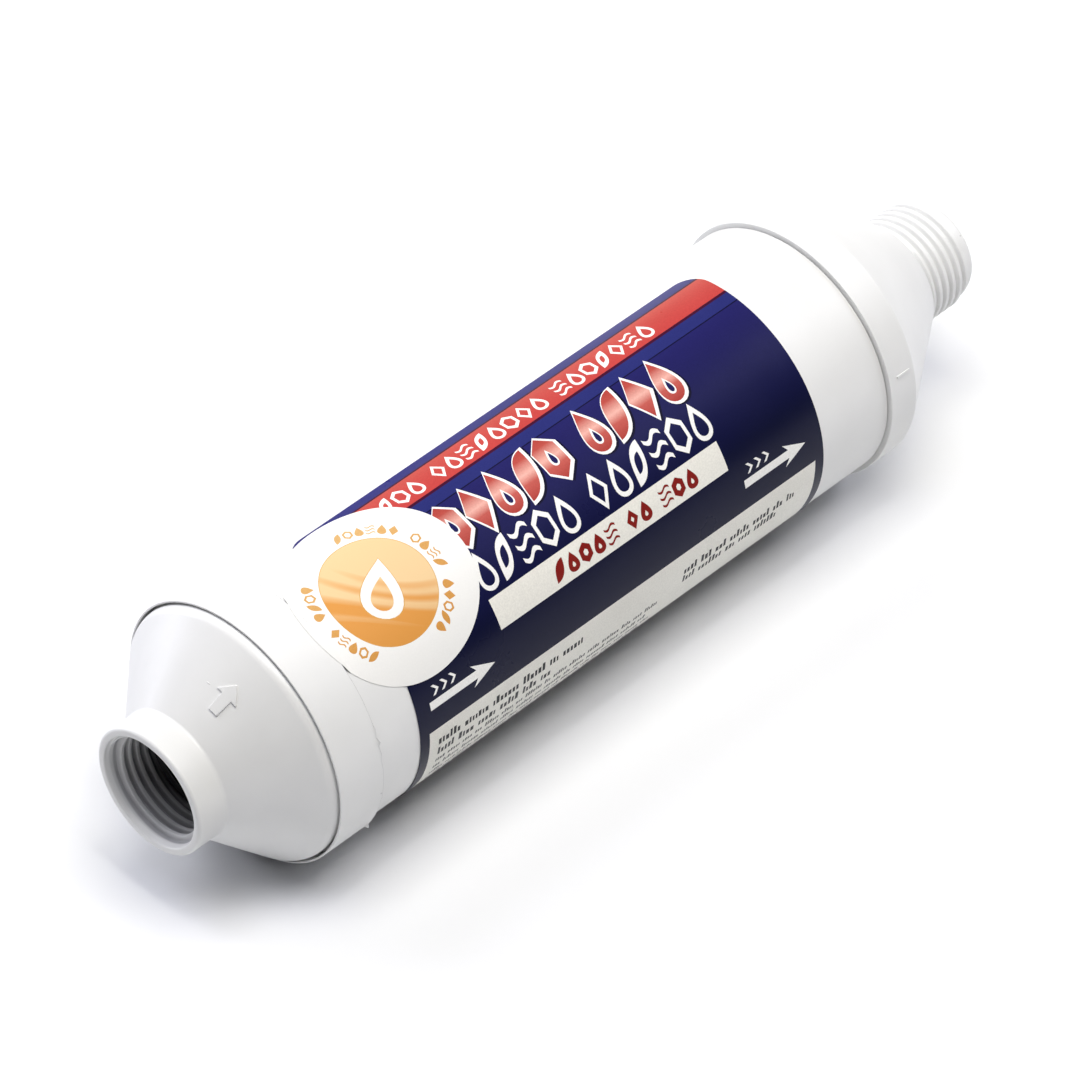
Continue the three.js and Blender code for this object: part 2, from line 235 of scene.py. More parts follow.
class Shader:
    """A node material with short ways to add nodes, joined to one Principled BSDF."""

    def __init__(self, name):
        self.material = bpy.data.materials.new(name)
        self.material.use_nodes = True
        self.tree = self.material.node_tree
        self.bsdf = self.tree.nodes["Principled BSDF"]
        self.place = self.node("ShaderNodeTexCoord").outputs["Object"]

    def node(self, kind, settings=None, **inputs):
        node = self.tree.nodes.new(kind)
        for key, value in (settings or {}).items():
            setattr(node, key, value)
        for key, value in inputs.items():
            self.feed(node.inputs[key.replace("_", " ")], value)
        return node

    def feed(self, socket, value):
        if isinstance(value, bpy.types.NodeSocket):
            self.tree.links.new(value, socket)
        else:
            socket.default_value = value

    def surface(self, **inputs):
        for key, value in inputs.items():
            self.feed(self.bsdf.inputs[key.replace("_", " ")], value)

    def noise(self, scale, detail, roughness=0.5):
        node = self.node("ShaderNodeTexNoise", Vector=self.place, Scale=scale, Detail=detail)
        self.feed(node.inputs["Roughness"], roughness)
        return node.outputs["Fac"]

    def spots(self, scale):
        return self.node("ShaderNodeTexVoronoi", Vector=self.place, Scale=scale)

    def math(self, operation, first, second):
        node = self.node("ShaderNodeMath", {"operation": operation})
        self.feed(node.inputs[0], first)
        self.feed(node.inputs[1], second)
        return node.outputs[0]

    def span(self, value, low, high, to_low, to_high):
        node = self.node("ShaderNodeMapRange", Value=value)
        for socket, number in zip(list(node.inputs)[1:5], (low, high, to_low, to_high)):
            self.feed(socket, number)
        return node.outputs[0]

    def mix(self, factor, first, second):
        node = self.node("ShaderNodeMix", {"data_type": "RGBA"})
        self.feed(node.inputs[0], factor)
        self.feed(node.inputs[6], first)
        self.feed(node.inputs[7], second)
        return node.outputs[2]

    def ramp(self, factor, stops):
        node = self.node("ShaderNodeValToRGB", Fac=factor)
        elements = node.color_ramp.elements
        while len(elements) < len(stops):
            elements.new(0.5)
        for element, (position, colour) in zip(elements, stops):
            element.position = position
            element.color = colour
        return node.outputs["Color"]

    def bump(self, height, strength, distance):
        node = self.node("ShaderNodeBump", Height=height, Strength=strength, Distance=distance)
        self.surface(Normal=node.outputs["Normal"])

    def round_axis(self):
        """The angle round the axis in degrees, from 0 to 360."""
        parts = self.node("ShaderNodeSeparateXYZ", Vector=self.place)
        up = self.math("SUBTRACT", parts.outputs["Z"], AXIS_Z)
        angle = self.math("MULTIPLY", self.math("ARCTAN2", up, parts.outputs["Y"]), 180 / math.pi)
        return self.math("FLOORED_MODULO", angle, 360.0)


def rgb(red, green, blue):
    """A linear colour from the 0 to 255 values that a screen shows."""
    def linear(value):
        value /= 255
        return value / 12.92 if value <= 0.04045 else ((value + 0.055) / 1.055) ** 2.4
    return (linear(red), linear(green), linear(blue), 1.0)


def moulded_plastic(name, light, dark, roughness):
    """Glossy moulded plastic: faint mottling, sparse specks and a very fine orange-peel skin."""
    shader = Shader(name)
    tone = shader.mix(shader.span(shader.noise(45, 4), 0.35, 0.65, 0, 1), light, dark)
    cells = shader.spots(130)
    small = shader.math("LESS_THAN", cells.outputs["Distance"], 0.03)
    few = shader.math("GREATER_THAN", cells.outputs["Color"], 0.82)
    specks = shader.math("MULTIPLY", shader.math("MULTIPLY", small, few), 0.35)
    tone = shader.mix(specks, tone, rgb(120, 118, 116))
    shader.surface(
        Base_Color=tone,
        Roughness=shader.span(shader.noise(70, 5), 0.3, 0.7, roughness - 0.05, roughness + 0.07),
        IOR=1.5,
    )
    shader.bump(shader.noise(900, 3), 0.12, 0.00006)
    return shader.material


def printed_film(name, stops, roughness=0.3, grain=0.06):
    """Printed film: its colour runs round the tube through the (angle, colour) stops."""
    shader = Shader(name)
    first, last = stops[0][0], stops[-1][0]
    factor = shader.span(shader.round_axis(), first, last, 0, 1)
    positions = [((angle - first) / (last - first), colour) for angle, colour in stops]
    tone = shader.ramp(factor, positions)
    dots = shader.span(shader.noise(2600, 2), 0.3, 0.7, 1 - grain, 1 + grain)
    cloud = shader.span(shader.noise(30, 3), 0.3, 0.7, 1 - grain, 1 + grain)
    bright = shader.math("MULTIPLY", dots, cloud)
    scaled = shader.node("ShaderNodeHueSaturation", Color=tone, Value=bright)
    shader.surface(
        Base_Color=scaled.outputs["Color"],
        Roughness=shader.span(shader.noise(55, 4), 0.3, 0.7, roughness - 0.04, roughness + 0.06),
        Specular_IOR_Level=0.14,
    )
    shader.bump(shader.noise(420, 2), 0.08, 0.00005)
    return shader.material


def plain_ink(name, colour, roughness=0.3):
    """Printed film of one colour all the way round."""
    return printed_film(name, [(72, colour), (360, colour)], roughness)


def socket_plastic():
    """The socket's plastic, greyer with depth and in the thread's grooves to stand for deep shade."""
    shader = Shader("socket_plastic")
    parts = shader.node("ShaderNodeSeparateXYZ", Vector=shader.place)
    station = shader.math("MULTIPLY", shader.math("SUBTRACT", parts.outputs["X"], MOUTH_X), 1 / MM)
    turn = shader.math("DIVIDE", shader.math("SUBTRACT", station, INLET_THREAD["start"]), PITCH)
    turn = shader.math("SUBTRACT", turn, shader.math("DIVIDE", shader.round_axis(), 360.0))
    from_crest = shader.math("PINGPONG", turn, 0.5)
    groove = shader.span(from_crest, 0.16, 0.36, 0.0, 1.0)
    depth = shader.span(station, 1.5, 12.5, 0.0, 1.0)
    crest_tone = shader.mix(depth, rgb(226, 226, 225), rgb(150, 150, 151))
    groove_tone = shader.mix(depth, rgb(176, 176, 177), rgb(92, 92, 94))
    mottle = shader.span(shader.noise(60, 4), 0.3, 0.7, -0.06, 0.06)
    shader.surface(
        Base_Color=shader.mix(shader.math("ADD", groove, mottle), crest_tone, groove_tone),
        Roughness=shader.span(shader.noise(70, 5), 0.3, 0.7, 0.45, 0.6),
    )
    shader.bump(shader.noise(900, 3), 0.12, 0.00006)
    return shader.material


def felt_material():
    shader = Shader("needled_felt")
    fibres = shader.noise(2200, 8, 0.7)
    tone = shader.mix(fibres, rgb(214, 208, 192), rgb(242, 238, 226))
    shader.surface(Base_Color=tone, Roughness=0.95, Sheen_Weight=0.3)
    shader.bump(fibres, 0.7, 0.0004)
    return shader.material


def granule_material(name, dark, light, scale, roughness, metallic):
    """A packed bed of granules: cells of varied tone with deep gaps between them."""
    shader = Shader(name)
    cells = shader.spots(scale)
    varied = shader.node("ShaderNodeSeparateColor", Color=cells.outputs["Color"])
    tone = shader.mix(varied.outputs["Red"], dark, light)
    shader.surface(
        Base_Color=tone,
        Roughness=shader.span(varied.outputs["Green"], 0, 1, roughness - 0.12, roughness + 0.1),
        Metallic=metallic,
    )
    shader.bump(cells.outputs["Distance"], 0.9, -0.0006)
    return shader.material


def rubber_material():
    shader = Shader("black_rubber")
    grime = shader.noise(300, 6, 0.65)
    tone = shader.mix(grime, rgb(20, 20, 21), rgb(42, 42, 43))
    shader.surface(Base_Color=tone, Roughness=shader.span(grime, 0.3, 0.7, 0.6, 0.85))
    shader.bump(shader.noise(1500, 4), 0.3, 0.0001)
    return shader.material


def steel_wire_material():
    shader = Shader("steel_wire")
    stain = shader.noise(400, 5)
    tone = shader.mix(stain, rgb(150, 149, 146), rgb(196, 195, 192))
    shader.surface(Base_Color=tone, Roughness=shader.span(stain, 0.3, 0.7, 0.25, 0.45), Metallic=1.0)
    shader.bump(shader.noise(3000, 2), 0.1, 0.00003)
    return shader.material


def nylon_mesh_material():
    """A fine plain weave, drawn by crossed waves across the disc."""
    shader = Shader("nylon_mesh")
    warp = shader.node(
        "ShaderNodeTexWave", {"bands_direction": "Y"}, Vector=shader.place, Scale=500.0
    ).outputs["Fac"]
    weft = shader.node(
        "ShaderNodeTexWave", {"bands_direction": "Z"}, Vector=shader.place, Scale=500.0
    ).outputs["Fac"]
    weave = shader.math("MAXIMUM", warp, weft)
    tone = shader.mix(weave, rgb(120, 118, 110), rgb(228, 226, 216))
    shader.surface(Base_Color=tone, Roughness=0.55)
    shader.bump(weave, 0.8, 0.0002)
    return shader.material


WHITE = moulded_plastic("white_plastic", rgb(229, 229, 228), rgb(224, 224, 223), 0.36)
# The same plastic in narrow gaps and steps, greyer to stand for their shade
SEAM = moulded_plastic("seam_plastic", rgb(136, 136, 138), rgb(126, 126, 128), 0.5)
SOCKET = socket_plastic()
NATURAL = moulded_plastic("natural_plastic", rgb(226, 224, 214), rgb(214, 212, 200), 0.5)
FELT = felt_material()
COPPER_ZINC = granule_material("copper_zinc_granules", rgb(120, 84, 44), rgb(214, 168, 96), 900, 0.4, 0.85)
CARBON = granule_material("carbon_granules", rgb(9, 9, 10), rgb(44, 44, 46), 620, 0.6, 0.0)
RUBBER = rubber_material()
STEEL = steel_wire_material()
NYLON = nylon_mesh_material()


# Housing tube

WORN_ANGLE, WORN_REACH = 166, 14
BURR_ANGLE, BURR_REACH = 214, 1.2


def housing_tube():
    rebate = REST_RADIUS - LIP
    collar = REST_RADIUS - FLASH
    corners = [
        (RIM_STATION, rebate, 0.08),
        (RIM_STATION, collar, 0.2),
        (COLLAR_END - 0.5, collar, 0),
        (COLLAR_END, collar, 0.08),
        (COLLAR_END + 0.4, TUBE_RADIUS, 0.15),
        (SHOULDER, TUBE_RADIUS, 0.25),
        (SHOULDER, TONGUE_RADIUS, 0.1),
        (TONGUE_END, TONGUE_RADIUS, 0.2),
        (TONGUE_END, TUBE_BORE, 0.2),
        (REBATE_END, TUBE_BORE, 0.2),
        (REBATE_END, rebate, 0.1),
    ]

    def flash(station, radius, angle):
        """A ragged line of flash on the collar's edge, rougher where it was worn, with one burr."""
        if abs(station - COLLAR_END) > 0.15 or radius < TUBE_RADIUS + 0.5:
            return radius
        degrees = math.degrees(angle)
        ragged = noise.noise(Vector((9 * math.cos(angle), 9 * math.sin(angle), 3.0)))
        fine = noise.noise(Vector((60 * math.cos(angle), 60 * math.sin(angle), 7.0)))
        even = max(0.0, min(FLASH, 0.08 + 0.12 * ragged + 0.1 * fine))
        worn = smooth(1 - abs(degrees - WORN_ANGLE) / WORN_REACH)
        burr = smooth(1 - abs(degrees - BURR_ANGLE) / BURR_REACH)
        torn = 0.5 * ragged + 1.1 * fine
        return radius + even + worn * torn + 0.9 * burr

    def in_seam(station, radius):
        """In the groove round the cap's rim, or on the step at the collar's end."""
        if TUBE_BORE + 0.3 < radius < rebate + 0.01:
            if RIM_STATION + 0.4 < station < REBATE_END + 0.1:
                return True
        return radius > TUBE_RADIUS - 0.01 and COLLAR_END - 0.06 < station < COLLAR_END + 0.6

    return revolve("tube_shell", filleted(corners), WHITE, flash, SEAM, in_seam)


add_piece(housing_tube(), "filter", "white_plastic", "housing_tube")


# Inlet cap

INLET_SLOPE = (RIM_RADIUS - NECK_RADIUS) / (RIM_CORNER - CONE_START)


def cone_radius(station):
    return NECK_RADIUS + INLET_SLOPE * (station - CONE_START)


def inlet_cap():
    rim_back = RIM_STATION + 2.7
    mouth_radius = FEMALE_ROOT + 0.25
    thread_top = (1.3, FEMALE_ROOT)
    corners = [
        (0, NECK_RADIUS, 0.75),
        (CONE_START, NECK_RADIUS, 1.2),
        (RIM_CORNER, RIM_RADIUS, 3.6),
        (rim_back, RIM_RADIUS, 0.3),
        (rim_back, TUBE_BORE - GAP, 0.15),
        (SPIGOT_END, TUBE_BORE - GAP, 0.3),
        (SPIGOT_END, SPIGOT_BORE, 0.3),
        (RIM_CORNER, SPIGOT_BORE, 2.0),
        (CHAMBER_START, CHAMBER_RADIUS, 1.5),
        (CHAMBER_START, WATERWAY, 0.2),
        (SOCKET_DEPTH, WATERWAY, 0.3),
        (SOCKET_DEPTH, FEMALE_ROOT, 0.3),
        (*thread_top, 0),
        (1.0, mouth_radius, 0),
        (0, mouth_radius, 0.35),
    ]
    profile = filleted(corners)
    rows = evenly(SOCKET_DEPTH - 0.5, 1.45, -THREAD_ROW)
    before_top = profile.index(thread_top)
    profile[before_top:before_top] = [(station, FEMALE_ROOT) for station in rows]

    def thread(station, radius, angle):
        if abs(radius - FEMALE_ROOT) > 0.001:
            return radius
        height = thread_height(station, angle, **INLET_THREAD)
        return radius - (FEMALE_ROOT - FEMALE_MINOR) * height

    def in_socket(station, radius):
        return radius < FEMALE_ROOT + 0.01 and 1.2 < station < SPIGOT_END

    return revolve("inlet_end_cap", profile, WHITE, thread, SOCKET, in_socket)


add_piece(inlet_cap(), "filter", "white_plastic", "inlet_cap")


# Outlet cap

def outlet_cap():
    thread_end = (LENGTH - 1.0, MALE_ROOT)
    corners = [
        (BAND_START, TONGUE_RADIUS + GAP, 0.1),
        (BAND_START, REST_RADIUS, 0.2),
        (BAND_END, REST_RADIUS, 0.5),
        (OUTLET_CONE_END, OUTLET_NECK, 0.5),
        (OUTLET_CONE_END + 1.0, MALE_ROOT, 0.4),
        (*thread_end, 0),
        (LENGTH, MALE_ROOT - 0.6, 0.3),
        (LENGTH, WATERWAY, 0.5),
        (OUTLET_CONE_END - 2.0, WATERWAY, 1.5),
        (BAND_END + 3.0, SPIGOT_BORE, 2.0),
        (LEDGE, SPIGOT_BORE, 0.3),
        (LEDGE, TUBE_BORE - GAP, 0.3),
        (TONGUE_END + GAP, TUBE_BORE - GAP, 0.1),
        (TONGUE_END + GAP, TONGUE_RADIUS + GAP, 0.1),
    ]
    profile = filleted(corners)
    rows = evenly(OUTLET_CONE_END + 1.9, LENGTH - 1.1, THREAD_ROW)
    before_end = profile.index(thread_end)
    profile[before_end:before_end] = [(station, MALE_ROOT) for station in rows]

    def thread(station, radius, angle):
        if abs(radius - MALE_ROOT) > 0.001:
            return radius
        return radius + (MALE_MAJOR - MALE_ROOT) * thread_height(station, angle, **OUTLET_THREAD)

    return revolve("outlet_end_cap", profile, WHITE, thread)


add_piece(outlet_cap(), "filter", "white_plastic", "outlet_cap")


# Sheets: flat layouts of printed shapes, wrapped round the tube

def sheet(name, layers, cuts, place, thickness, inks):
    """A thin closed sheet cut into printed regions.

    layers is a list of (outline, ink), from the paper up; an outline is a list of (u, v) in mm.
    cuts are lines along which the sheet bends. place(u, v, height) gives a point and its outward
    direction. The sheet is thickness mm thick, below height 0.
    """
    points, edges, outlines = [], [], []
    for outline, _ in layers:
        outlines.append(list(range(len(points), len(points) + len(outline))))
        points.extend(Vector(point) for point in outline)
    for start, end in cuts:
        edges.append((len(points), len(points) + 1))
        points.extend((Vector(start), Vector(end)))
    flat, _, triangles, _, _, sources = geometry.delaunay_2d_cdt(points, edges, outlines, 0, 1e-4)
    kept = [(tri, max(source)) for tri, source in zip(triangles, sources) if 0 in source]
    used = sorted({index for tri, _ in kept for index in tri})
    renumber = {index: i for i, index in enumerate(used)}
    vertices, normals = [], []
    for height in (0.0, -thickness):
        for index in used:
            point, outward = place(flat[index].x, flat[index].y, height)
            vertices.append(point)
            normals.append(outward if height == 0.0 else -outward)
    count = len(used)
    faces, face_inks, sides = [], [], {}
    ink_names = list(inks)
    for tri, layer in kept:
        a, b, c = (renumber[index] for index in tri)
        ink = ink_names.index(layers[layer][1])
        faces.append((c, b, a))
        faces.append((a + count, b + count, c + count))
        face_inks.extend((ink, 0))
        for edge in ((a, b), (b, c), (c, a)):
            sides[edge] = ink
    for (a, b), ink in sides.items():
        if (b, a) not in sides:
            faces.append((a, b, b + count, a + count))
            face_inks.append(ink)
    piece = new_object(name, vertices, faces, [inks[ink] for ink in ink_names], face_inks)
    piece.data.normals_split_custom_set_from_vertices(normals)
    return piece


def arc_points(centre, radius, start, end, steps):
    return [
        (centre[0] + radius * math.cos(start + (end - start) * i / steps),
         centre[1] + radius * math.sin(start + (end - start) * i / steps))
        for i in range(steps + 1)
    ]


def box_outline(left, top, right, bottom):
    return [(left, top), (right, top), (right, bottom), (left, bottom)]


def round_box(left, top, right, bottom, radius, steps=8):
    quarter = math.pi / 2
    corners = [
        ((left + radius, top + radius), 2 * quarter),
        ((right - radius, top + radius), 3 * quarter),
        ((right - radius, bottom - radius), 0),
        ((left + radius, bottom - radius), quarter),
    ]
    outline = []
    for centre, start in corners:
        outline.extend(arc_points(centre, radius, start, start + quarter, steps))
    return outline


def disc_outline(centre, radius, steps=96):
    return arc_points(centre, radius, 0, TURN * (steps - 1) / steps, steps - 1)


def drop_outline(centre, height, width, steps=30):
    """A water drop with its point up."""
    outline = []
    for i in range(steps):
        t = TURN * i / steps
        across = 0.65 * width * math.sin(t) * math.sin(t / 2) ** 1.3
        outline.append((centre[0] + across, centre[1] - height / 2 * math.cos(t)))
    return outline


def polygon_outline(centre, height, width, corners):
    """A regular polygon with a corner up, stretched to a height and a width."""
    turns = [TURN * i / corners for i in range(corners)]
    across = [math.sin(t) for t in turns]
    return [
        (centre[0] + width / 2 * x / max(across), centre[1] - height / 2 * math.cos(t))
        for t, x in zip(turns, across)
    ]


def leaf_outline(centre, height, width, steps=12):
    """A leaf between two arcs, with its tips at the top right and the bottom left."""
    outline = []
    for side in (1, -1):
        for i in range(steps):
            t = side * (1 - 2 * i / steps)
            bulge = side * 0.36 * (1 - t * t)
            outline.append((
                centre[0] + width * (0.5 * t + 0.62 * bulge),
                centre[1] - height * (0.5 * t - 0.62 * bulge),
            ))
    return outline


def wave_outline(centre, height, width, steps=20):
    """One swell of water: a ribbon along a full sine wave."""
    outline = []
    for side in (1, -1):
        for i in range(steps + 1):
            t = side * (i / steps - 0.5)
            swell = -0.3 * height * math.sin(TURN * t)
            outline.append((centre[0] + width * t, centre[1] + swell - side * 0.2 * height))
    return outline


def grown(outline, margin):
    """The outline moved outwards by a margin."""
    count = len(outline)
    area = sum(
        outline[i - 1][0] * outline[i][1] - outline[i][0] * outline[i - 1][1] for i in range(count)
    )
    if area < 0:
        margin = -margin
    moved = []
    for i in range(count):
        here = Vector(outline[i])
        ahead = (Vector(outline[(i + 1) % count]) - here).normalized()
        behind = (here - Vector(outline[i - 1])).normalized()
        first, second = Vector((behind.y, -behind.x)), Vector((ahead.y, -ahead.x))
        corner = (first + second).normalized()
        reach = margin / max(0.5, corner.dot(first))
        moved.append(tuple(here + corner * reach))
    return moved


def shifted(outline, du, dv):
    return [(u + du, v + dv) for u, v in outline]


def turned(outline, centre, degrees):
    angle = math.radians(degrees)
    return [
        (centre[0] + (u - centre[0]) * math.cos(angle) - (v - centre[1]) * math.sin(angle),
         centre[1] + (u - centre[0]) * math.sin(angle) + (v - centre[1]) * math.cos(angle))
        for u, v in outline
    ]


def figure(kind, centre, height, width):
    """The outlines of one small picture from a set that water filters might carry."""
    if kind == "drop":
        return [drop_outline(centre, height, width)]
    if kind == "cell":
        return [polygon_outline(centre, height, width, 6)]
    if kind == "crystal":
        return [polygon_outline(centre, height, width, 4)]
    if kind == "leaf":
        return [leaf_outline(centre, height, width)]
    third = height / 3
    return [wave_outline((centre[0], centre[1] + k * third), 0.9 * third, width) for k in (-1, 0, 1)]


def figure_row(kinds, left, right, middle, height):
    """The kind and outline of each figure in a row; the word space leaves a gap."""
    kinds = kinds.split()
    pitch = (right - left) / sum(0.6 if kind == "space" else 1 for kind in kinds)
    u = left
    row = []
    for kind in kinds:
        if kind == "space":
            u += 0.6 * pitch
            continue
        outlines = figure(kind, (u + pitch / 2, middle), height, 0.84 * pitch)
        row += [(kind, outline) for outline in outlines]
        u += pitch
    return row


# How much narrower the hollow in a figure is, in strokes, and how far below the figure's middle
# it shrinks to, as a share of the figure's height
HOLLOWS = {"drop": (2.3, 0.18), "cell": (2.2, 0), "crystal": (2.4, 0), "leaf": (3.4, 0)}


def hollow(kind, outline, stroke):
    """The inner outline of a figure drawn as a line, if there is room for one."""
    if kind not in HOLLOWS:
        return []
    strokes, pivot = HOLLOWS[kind]
    across, along = zip(*outline)
    width, height = max(across) - min(across), max(along) - min(along)
    scale = 1 - strokes * stroke / width
    if scale < 0.15:
        return []
    middle_u = (max(across) + min(across)) / 2
    middle_v = (max(along) + min(along)) / 2 + pivot * height
    return [[(middle_u + (u - middle_u) * scale, middle_v + (v - middle_v) * scale) for u, v in outline]]


def stroked(row, ink, inside, stroke):
    """Layers for a row of figures drawn as lines of an ink."""
    layers = []
    for kind, outline in row:
        layers.append((outline, ink))
        layers += [(inner, inside) for inner in hollow(kind, outline, stroke)]
    return layers


# The wrap label. u runs along the tube from the label's left edge, and v down from its top edge.

LABEL_START = station_of(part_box("wrap_label")[0].x)
LABEL_LENGTH = station_of(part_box("wrap_label")[1].x) - LABEL_START
LABEL_TOP = 72.15
LABEL_WRAP = 300
LABEL_RADIUS = 31.2
LABEL_THICKNESS = 0.1
PER_DEGREE = LABEL_RADIUS * TURN / 360
LABEL_HEIGHT = LABEL_WRAP * PER_DEGREE
BEND = 3.0 * PER_DEGREE
# Bands start and end this far past the label's ends, where its edge cuts them off
PAST_END = 1


def down(angle):
    """The distance in mm from the label's top edge to an angle round the tube."""
    return (angle - LABEL_TOP) * PER_DEGREE


def flow_arrow(left, right, middle):
    head, half_head, half_shaft, sweep = 6.0, 2.7, 1.0, 0.7
    return [
        (left, middle - half_shaft),
        (right - head + sweep, middle - half_shaft),
        (right - head - sweep, middle - half_head),
        (right, middle),
        (right - head - sweep, middle + half_head),
        (right - head + sweep, middle + half_shaft),
        (left, middle + half_shaft),
    ]


def chevron(left, middle, size):
    arm, stroke = size / 2, 0.32 * size
    return [
        (left, middle - arm),
        (left + stroke, middle - arm),
        (left + stroke + arm, middle),
        (left + stroke, middle + arm),
        (left, middle + arm),
        (left + arm, middle),
    ]


def small_marks(left, right, middle, height, ink, dice):
    """A row of tiny bars in groups, which stands for a line of small print without being any."""
    marks = []
    u = left
    while u < right:
        for _ in range(dice.randint(3, 7)):
            tall = dice.choice((0.62, 0.62, 0.75, 1.0)) * height
            width = dice.uniform(0.22, 0.42) * height
            bottom = middle + height / 2
            if u + width > right:
                break
            marks.append((box_outline(u, bottom - tall, u + width, bottom), ink))
            u += width + 0.16 * height
        u += 0.5 * height
    return marks


def band(top, bottom, ink):
    """A band from end to end of the label."""
    return (box_outline(-PAST_END, top, LABEL_LENGTH + PAST_END, bottom), ink)


def red_band():
    """A red band with thin dark edges and a row of fine figures, over a brighter blue one."""
    top, bottom, blue_bottom = down(77.7), down(91.4), down(98.3)
    kinds = (
        "leaf cell drop space crystal drop waves leaf drop cell crystal drop space "
        "waves drop cell leaf crystal waves drop"
    )
    return [
        band(top - 0.5, bottom + 0.7, "maroon"),
        band(top, bottom, "red"),
        *stroked(figure_row(kinds, 22.0, 106.0, down(85.0), 5.1), "white", "red", 0.62),
        band(bottom + 0.7, blue_bottom, "bright_navy"),
        band(blue_bottom, down(98.8), "ink_line"),
    ]


def bold_row():
    """Large red figures, edged with white over a dark shadow, some with a small drop inside."""
    middle = down(109.3)
    row = figure_row("cell crystal drop leaf cell space drop leaf crystal drop", 27.0, 100.0, middle, 11.6)
    layers = []
    for margin, shift, ink in ((0.5, 0.75, "ink_line"), (0.55, 0.25, "white"), (0, 0, "red_shine")):
        layers += [(shifted(grown(outline, margin), shift, shift), ink) for _, outline in row]
    for kind, outline in row:
        if kind in ("cell", "drop"):
            u = sum(point[0] for point in outline) / len(outline)
            v = middle + (1.6 if kind == "drop" else 0)
            layers.append((drop_outline((u, v), 4.6, 2.3), "white"))
            layers.append((drop_outline((u + 0.1, v + 0.2), 3.2, 1.4), "navy"))
    return layers


def fine_row():
    kinds = "drop leaf waves cell drop space crystal drop leaf waves cell drop"
    return stroked(figure_row(kinds, 27.0, 99.7, down(131.0), 9.3), "white", "navy", 0.8)


def cream_bar():
    kinds = "leaf drop cell drop waves space crystal drop space waves cell drop"
    return [
        (box_outline(27.4, down(141.6), 98.0, down(154.9)), "cream"),
        *stroked(figure_row(kinds, 45.0, 90.0, down(148.4), 4.7), "dark_red", "cream", 1.0),
    ]


def flow_marks():
    """Arrows that show the way of the flow, with chevrons above them."""
    layers = []
    for left, right in ((4.0, 23.4), (101.4, 120.8)):
        layers.append((flow_arrow(left, right, down(165.2)), "white"))
        for i in range(3):
            layers.append((chevron(left + 1.5 + 2.6 * i, down(159.4), 2.4), "white"))
    return layers


def small_print(dice):
    """The cream panel of small marks, which runs out of the camera's sight round the tube."""
    layers = [(box_outline(2.7, down(176.9), 123.3, down(238)), "cream")]
    layers += small_marks(5.5, 50.0, down(184.2), 2.3, "black", dice)
    layers += small_marks(5.5, 40.0, down(190.2), 2.3, "black", dice)
    layers += small_marks(81.5, 117.5, down(187.0), 2.2, "black", dice)
    layers += small_marks(81.5, 112.0, down(192.0), 2.2, "black", dice)
    for i in range(6):
        right = 74.0 - 3 * (i % 2)
        layers += small_marks(5.5, right, down(196 + 5 * i), 1.5, "black", dice)
    return layers


def far_side(dice):
    """Two blocks of small marks, a cream panel of bars and a red stripe, none seen in the photo."""
    layers = []
    for i in range(9):
        layers += small_marks(8.0, 58.0, down(246 + 6 * i), 1.6, "white", dice)
        layers += small_marks(66.0, 118.0, down(246 + 6 * i), 1.6, "white", dice)
    layers.append((box_outline(12.0, down(304), 114.0, down(328)), "cream"))
    u = 16.0
    while u < 108:
        width = dice.uniform(0.5, 1.9)
        layers.append((box_outline(u, down(307), u + width, down(325)), "black"))
        u += width + dice.uniform(0.5, 1.8)
    layers.append(band(down(340), down(352), "red"))
    return layers


def label_layers():
    dice = random.Random(12)
    layers = [(round_box(0, 0, LABEL_LENGTH, LABEL_HEIGHT, 5.5), "navy")]
    layers += red_band() + bold_row() + fine_row() + cream_bar() + flow_marks()
    return layers + small_print(dice) + far_side(dice)


def label_place(u, v, height):
    angle = math.radians(LABEL_TOP) + v / LABEL_RADIUS
    outward = Vector((0, math.cos(angle), math.sin(angle)))
    return to_frame(LABEL_START + u, LABEL_RADIUS + height, angle), outward


def bends(left, right, top, bottom):
    """Cut lines along the tube, one every few degrees, so that a sheet can follow the curve."""
    return [((left, v), (right, v)) for v in evenly(top, bottom, BEND)[1:-1]]


# The (angle, colour) stops of the inks that change round the tube
# Navy print with painted light and shade: lighter near the top of the tube, darker lower down
NAVY_PAINTED_SHADE_STOPS = [
    (72, rgb(44, 44, 112)),
    (104, rgb(33, 31, 88)),
    (128, rgb(25, 26, 70)),
    (150, rgb(13, 16, 46)),
    (360, rgb(13, 16, 46)),
]
RED_STOPS = [(72, rgb(182, 76, 68)), (92, rgb(184, 64, 62)), (360, rgb(184, 64, 62))]
RED_SHINE_STOPS = [
    (97, rgb(160, 58, 52)),
    (103, rgb(176, 76, 68)),
    (109, rgb(222, 168, 156)),
    (113, rgb(184, 88, 80)),
    (121, rgb(158, 52, 46)),
]
WHITE_STOPS = [(72, rgb(238, 237, 234)), (360, rgb(234, 233, 230))]
CREAM_STOPS = [(72, rgb(232, 229, 220)), (360, rgb(228, 228, 222))]

INKS = {
    "bright_navy": plain_ink("bright_navy_print", rgb(40, 44, 106)),
    # The navy print carries painted light and shade round the tube
    "navy": printed_film("navy_print_painted_shade", NAVY_PAINTED_SHADE_STOPS),
    "red": printed_film("red_print", RED_STOPS),
    "red_shine": printed_film("red_shine_print", RED_SHINE_STOPS),
    "dark_red": plain_ink("dark_red_print", rgb(128, 30, 26)),
    "white": printed_film("white_print", WHITE_STOPS),
    "cream": printed_film("cream_print", CREAM_STOPS),
    "black": plain_ink("black_print", rgb(30, 30, 34)),
    "maroon": plain_ink("maroon_print", rgb(62, 16, 44)),
    "ink_line": plain_ink("ink_line_print", rgb(16, 14, 40)),
}

label = sheet(
    "printed_label",
    label_layers(),
    bends(-PAST_END, LABEL_LENGTH + PAST_END, 0, LABEL_HEIGHT),
    label_place,
    LABEL_THICKNESS,
    INKS,
)
add_piece(label, "filter", "label_film", "wrap_label")


# The round sticker. u runs along the tube and v round it, both from the sticker's centre.

